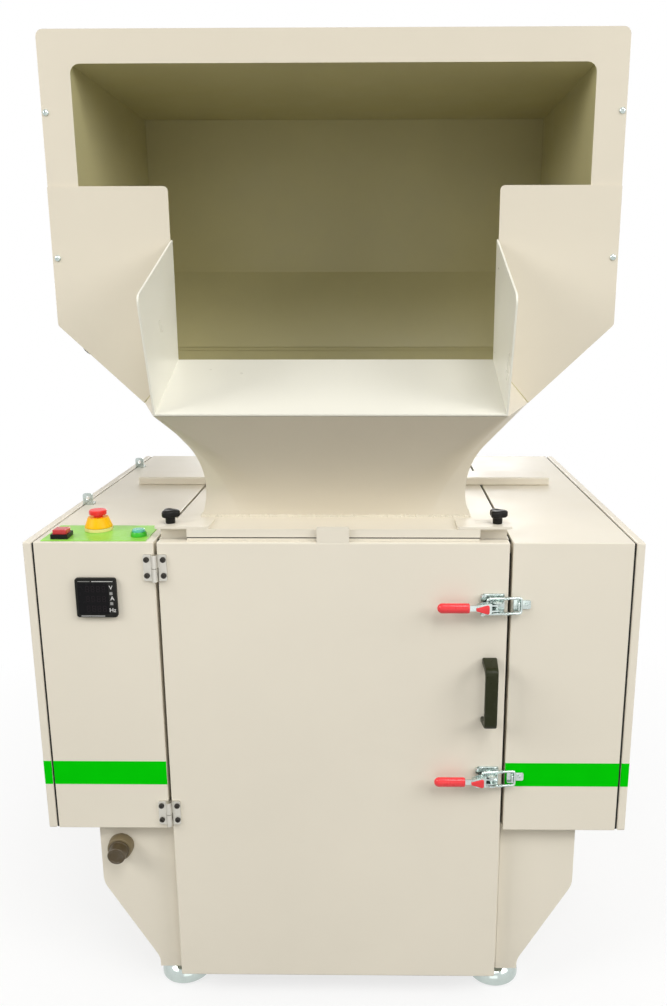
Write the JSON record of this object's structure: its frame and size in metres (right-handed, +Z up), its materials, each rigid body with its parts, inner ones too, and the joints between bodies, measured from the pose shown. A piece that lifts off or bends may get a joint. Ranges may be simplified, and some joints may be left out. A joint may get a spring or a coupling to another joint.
{
  "type": "plastic granulator",
  "caption": "Beside-the-press plastic granulator: raised feed hopper with a front mouth, folded neck, side cabinets, hinged front door with toggle latches, on machine feet.",
  "frame": {"origin": "middle of the machine's bounding box, on the floor under its feet", "axes": "+Z up, -Y towards the operator in front of the door, +X to the right as the operator sees it"},
  "size_m": [1.076, 0.9208, 1.792],
  "materials": {
    "ivory_paint": "semi-gloss ivory enamel on sheet steel",
    "zinc_plate": "bright zinc plating",
    "chrome": "bright plated, worn",
    "black_plastic": "moulded, slightly glossy",
    "black_rubber": "plain rubber",
    "red_plastic": "glossy",
    "yellow_plastic": "glossy",
    "green_plastic": "glossy"
  },
  "bodies": {
    "machine": {"base_wing_left": "ivory_paint", "base_wing_right": "ivory_paint", "foot_front_left": "chrome", "foot_front_right": "chrome", "foot_rear_left": "chrome", "foot_rear_right": "chrome", "cabinet_left": "ivory_paint", "cabinet_right": "ivory_paint", "side_panel_left": "ivory_paint", "side_panel_right": "ivory_paint", "bay_lining": "ivory_paint", "top_plate": "ivory_paint", "chamber_chute": "ivory_paint", "neck_flange": "ivory_paint", "clamp_strap_left": "ivory_paint", "clamp_strap_right": "ivory_paint", "deck_bar": "ivory_paint", "hopper_face": "ivory_paint", "hopper_shell": "ivory_paint", "hopper_back": "ivory_paint", "hopper_funnel": "ivory_paint", "feed_tray": "ivory_paint", "cheek_left": "ivory_paint", "cheek_right": "ivory_paint", "upper_hinge_frame": "zinc_plate", "lower_hinge_frame": "zinc_plate", "upper_catch": "zinc_plate", "lower_catch": "zinc_plate", "button_plate": "green_plastic", "estop_collar": "yellow_plastic", "red_bezel": "black_plastic", "green_bezel": "black_plastic", "panel_meter": "black_plastic", "port_cap": "black_plastic", "panel_clip_front": "zinc_plate", "panel_clip_rear": "zinc_plate", "hopper_buffer": "black_rubber"},
    "door_leaf": {"door": "ivory_paint", "door_handle": "black_plastic", "upper_hinge_door": "zinc_plate", "lower_hinge_door": "zinc_plate", "upper_latch_base": "zinc_plate", "lower_latch_base": "zinc_plate"},
    "upper_latch_lever": {"upper_lever": "zinc_plate", "upper_grip": "red_plastic"},
    "upper_latch_bail": {"upper_bail": "zinc_plate"},
    "lower_latch_lever": {"lower_lever": "zinc_plate", "lower_grip": "red_plastic"},
    "lower_latch_bail": {"lower_bail": "zinc_plate"},
    "knob_left": {"star_knob_left": "black_plastic"},
    "knob_right": {"star_knob_right": "black_plastic"},
    "estop_head": {"estop_button": "red_plastic"},
    "red_push": {"red_button": "red_plastic"},
    "green_push": {"green_button": "green_plastic"}
  },
  "joints": [
    {"name": "door_swing", "type": "hinge", "parent": "machine", "child": "door_leaf", "pos_m": [-0.309, -0.3761, 0.6575], "axis": [0, 0, -1], "range_deg": [0, 110]},
    {"name": "upper_lever_swing", "type": "hinge", "parent": "door_leaf", "child": "upper_latch_lever", "pos_m": [0.284, -0.3856, 0.83], "axis": [0, 0, 1], "range_deg": [0, 120]},
    {"name": "upper_bail_swing", "type": "hinge", "parent": "upper_latch_lever", "child": "upper_latch_bail", "pos_m": [0.268, -0.3826, 0.83], "axis": [0, 0, 1], "range_deg": [-120, 0]},
    {"name": "lower_lever_swing", "type": "hinge", "parent": "door_leaf", "child": "lower_latch_lever", "pos_m": [0.284, -0.3856, 0.497], "axis": [0, 0, 1], "range_deg": [0, 120]},
    {"name": "lower_bail_swing", "type": "hinge", "parent": "lower_latch_lever", "child": "lower_latch_bail", "pos_m": [0.268, -0.3826, 0.497], "axis": [0, 0, 1], "range_deg": [-120, 0]},
    {"name": "knob_left_turn", "type": "hinge", "parent": "machine", "child": "knob_left", "pos_m": [-0.287, -0.3336, 0.978], "axis": [0, 0, 1], "continuous": true},
    {"name": "knob_right_turn", "type": "hinge", "parent": "machine", "child": "knob_right", "pos_m": [0.287, -0.3336, 0.978], "axis": [0, 0, 1], "continuous": true},
    {"name": "estop_press", "type": "slide", "parent": "machine", "child": "estop_head", "axis": [0, 0, -1], "range_m": [0, 0.004]},
    {"name": "red_press", "type": "slide", "parent": "machine", "child": "red_push", "axis": [0, 0, -1], "range_m": [0, 0.003], "stiffness_N_per_m": 300, "springref_m": -0.003},
    {"name": "green_press", "type": "slide", "parent": "machine", "child": "green_push", "axis": [0, 0, -1], "range_m": [0, 0.003], "stiffness_N_per_m": 300, "springref_m": -0.003}
  ],
  "couplings": [
    {"joint": "upper_bail_swing", "follows": "upper_lever_swing", "ratio": -1},
    {"joint": "lower_bail_swing", "follows": "lower_lever_swing", "ratio": -1}
  ]
}
